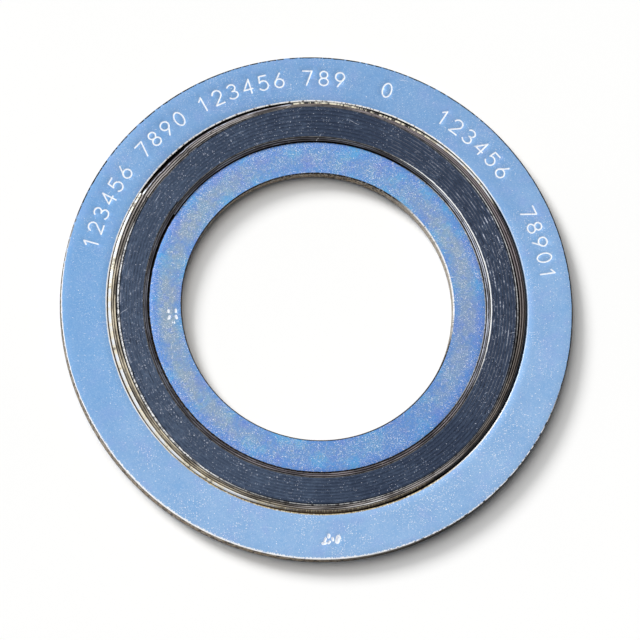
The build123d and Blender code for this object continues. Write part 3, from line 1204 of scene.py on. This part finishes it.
class GASKET_OT_inner_ring(bpy.types.Operator):
    """Turn the inner ring and punch its mark"""

    bl_idname = "gasket.inner_ring"
    bl_label = "Inner Ring"
    bl_options = {"REGISTER", "UNDO"}

    def execute(self, context):
        scene = context.scene
        sizes, marks, colours = scene.gasket_rings, scene.gasket_marks, scene.gasket_finish
        face, edge, wall = 0, 2, 3
        top, bore, rim = CORE_TOP, BORE_RADIUS, sizes.core_face_radius
        out, step, burr = sizes.bore_break, sizes.core_break, sizes.burr
        section = [
            (rim, top, burr, edge),
            (rim + step, top - step / 2, 0, wall),
            (CORE_APEX, 0, 0, wall),
            (rim + step, step / 2 - top, 0, edge),
            (rim, -top, burr, face),
            (bore + out, -top, burr / 2, edge),
            (bore, out - top, 0, wall),
            (bore, top - out, 0, edge),
            (bore + out, top, burr / 2, face),
        ]
        cuts = punch_cuts(*CORE_MARK, CORE_DOTS, marks.light_punch)
        materials = [make(colours) for make in (core_plate, etched_metal, core_edge, raw_wall)]
        ring_piece("inner_plate_ring", section, cuts, materials, "inner_ring")
        return {"FINISHED"}


class GASKET_OT_hoop_strip(bpy.types.Operator):
    """Wind the hoop strip from the inner plies to the outer"""

    bl_idname = "gasket.hoop_strip"
    bl_label = "Hoop Strip"
    bl_options = {"REGISTER", "UNDO"}

    def execute(self, context):
        sizes, colours = context.scene.gasket_winding, context.scene.gasket_finish
        turns, radii, _ = lap_radii(sizes)
        clear_radius = context.scene.gasket_rings.land_radius - STRIP_CLEARANCE
        strip = strip_sections(radii, turns, sizes, clear_radius)
        columns = strip.shape[1]
        # The third slot holds the laps at the filler's ends, which carry a painted glint
        ply, lap, painted_light, outermost = range(4)
        number = np.floor(turns[:-1]).astype(int)
        first, last = sizes.inner_plies, sizes.inner_plies + sizes.filled_turns
        finish = np.where((number >= first) & (number < last), lap, ply)
        finish = np.where((number == first - 1) | (number == last), painted_light, finish)
        slots = np.repeat(finish[:, None], columns, axis=1)
        slots[-TURN_STEPS:, OUTWARD] = outermost
        slots = [*slots.ravel().tolist(), ply, ply]
        materials = [make(colours) for make in (ply_steel, lap_steel, glinting_lap, hoop_flank)]
        points = swept(strip, bearings(turns, sizes)).tolist()
        faces = sweep_faces(len(turns), columns)
        mesh_piece("wound_hoop", points, faces, slots, materials, "hoop_strip")
        return {"FINISHED"}


class GASKET_OT_graphite_filler(bpy.types.Operator):
    """Lay the graphite filler between the laps of the strip"""

    bl_idname = "gasket.graphite_filler"
    bl_label = "Graphite Filler"
    bl_options = {"REGISTER", "UNDO"}

    def execute(self, context):
        sizes, colours = context.scene.gasket_winding, context.scene.gasket_finish
        turns, radii, tape = lap_radii(sizes)
        filled = np.flatnonzero(tape > THINNEST_TAPE)
        inner = radii[filled - TURN_STEPS] + sizes.strip_gauge + TAPE_PLAY
        outer = radii[filled] - TAPE_PLAY
        tape = filler_sections(inner, outer, turns[filled], sizes)
        points = swept(tape, bearings(turns, sizes)[filled]).tolist()
        faces = sweep_faces(*tape.shape[:2])
        materials = [graphite(colours)]
        slots = [0] * len(faces)
        mesh_piece("wound_filler", points, faces, slots, materials, "graphite_filler")
        return {"FINISHED"}


class GASKET_OT_stage(bpy.types.Operator):
    """Lay the floor, hang the lamps and place the camera"""

    bl_idname = "gasket.stage"
    bl_label = "Stage"
    bl_options = {"REGISTER", "UNDO"}

    def execute(self, context):
        scene = context.scene
        sizes, colours = scene.gasket_stage, scene.gasket_finish
        lay_floor(scene, colours)
        light_room(scene, sizes)
        place_camera(scene, sizes)
        scene.view_settings.view_transform = "Standard"
        return {"FINISHED"}


def lay_floor(scene, colours):
    """A plain white floor."""
    mesh = bpy.data.meshes.new("floor")
    signs = ((-1, -1), (1, -1), (1, 1), (-1, 1))
    corners = [(x * FLOOR_REACH, y * FLOOR_REACH, FLOOR_LEVEL) for x, y in signs]
    mesh.from_pydata(corners, [], [(0, 1, 2, 3)])
    made = Finish("floor", colours.floor)
    made.coat((1, 1, 1), made.ramp(made.cloud(9), 0.3, 0.7, 0.3))
    mesh.materials.append(made.finish(0.9, 0, 0))
    floor = bpy.data.objects.new("floor", mesh)
    scene.collection.objects.link(floor)


def hang_light(scene, name, share, bearing, rise, spread, glossy):
    """A far, wide light that gives the floor its share of white."""
    lamp = bpy.data.lights.new(name, "SUN")
    lamp.energy = share * math.pi / math.sin(rise)
    lamp.angle = spread
    flat = math.cos(rise)
    away = Vector((flat * math.cos(bearing), flat * math.sin(bearing), math.sin(rise)))
    lit = bpy.data.objects.new(name, lamp)
    lit.rotation_euler = away.to_track_quat("Z", "Y").to_euler()
    lit.visible_glossy = glossy
    scene.collection.objects.link(lit)


def light_room(scene, sizes):
    """A low and a high soft light from the far left, and a weak even light all round."""
    bearing = sizes.light_bearing
    hang_light(scene, "low light", sizes.low_share, bearing, sizes.low_rise, sizes.low_spread, True)
    hang_light(scene, "high light", sizes.high_share, bearing, sizes.high_rise, sizes.high_spread, False)
    world = bpy.data.worlds.new("room")
    world.use_nodes = True
    nodes, links = world.node_tree.nodes, world.node_tree.links
    rays = nodes.new("ShaderNodeLightPath")
    seen = nodes.new("ShaderNodeMath")
    seen.operation = "MAXIMUM"
    links.new(rays.outputs["Is Camera Ray"], seen.inputs[0])
    links.new(rays.outputs["Is Glossy Ray"], seen.inputs[1])
    strength = nodes.new("ShaderNodeMapRange")
    strength.inputs["To Min"].default_value = sizes.sky
    strength.inputs["To Max"].default_value = 1.0
    links.new(seen.outputs[0], strength.inputs["Value"])
    background = nodes["Background"]
    background.inputs["Color"].default_value = (1, 1, 1, 1)
    links.new(strength.outputs["Result"], background.inputs["Strength"])
    scene.world = world


def place_camera(scene, sizes):
    """A long lens above the gasket, leaning a little to the near left."""
    camera = bpy.data.cameras.new("camera")
    camera.lens = sizes.lens
    camera.sensor_width = 36.0
    aim = Vector((sizes.aim_x, sizes.aim_y, 0))
    flat = math.sin(sizes.tilt)
    away = Vector((flat * math.cos(sizes.bearing), flat * math.sin(sizes.bearing), math.cos(sizes.tilt)))
    right = Vector((0, 1, 0)).cross(away).normalized()
    up = away.cross(right)
    seat = bpy.data.objects.new("camera", camera)
    turn = Matrix((right, up, away)).transposed().to_4x4()
    seat.matrix_world = Matrix.Translation(aim + away * sizes.distance) @ turn
    scene.collection.objects.link(seat)
    scene.camera = seat


# ---------------------------------------------------------------- panel and running


GROUPS = (
    ("gasket_rings", GasketRings),
    ("gasket_winding", GasketWinding),
    ("gasket_marks", GasketMarks),
    ("gasket_finish", GasketFinish),
    ("gasket_stage", GasketStage),
)
OPERATORS = (
    GASKET_OT_centring_ring,
    GASKET_OT_inner_ring,
    GASKET_OT_hoop_strip,
    GASKET_OT_graphite_filler,
    GASKET_OT_stage,
)


class GASKET_PT_panel(bpy.types.Panel):
    """Lists the gasket's pieces, sizes and colours"""

    bl_idname = "GASKET_PT_panel"
    bl_label = "Spiral Wound Gasket"
    bl_space_type = "VIEW_3D"
    bl_region_type = "UI"
    bl_category = "Gasket"

    def draw(self, context):
        for operator in OPERATORS:
            self.layout.operator(operator.bl_idname)
        for name, group in GROUPS:
            box = self.layout.box()
            for prop in group.__annotations__:
                box.prop(getattr(context.scene, name), prop)


def register():
    for name, group in GROUPS:
        bpy.utils.register_class(group)
        setattr(bpy.types.Scene, name, PointerProperty(type=group))
    for operator in OPERATORS:
        bpy.utils.register_class(operator)
    bpy.utils.register_class(GASKET_PT_panel)


def unregister():
    bpy.utils.unregister_class(GASKET_PT_panel)
    for operator in reversed(OPERATORS):
        bpy.utils.unregister_class(operator)
    for name, group in reversed(GROUPS):
        delattr(bpy.types.Scene, name)
        bpy.utils.unregister_class(group)


def main():
    """Builds every piece and the stage."""
    register()
    bpy.ops.gasket.centring_ring()
    bpy.ops.gasket.inner_ring()
    bpy.ops.gasket.hoop_strip()
    bpy.ops.gasket.graphite_filler()
    bpy.ops.gasket.stage()


if __name__ == "__main__":
    main()
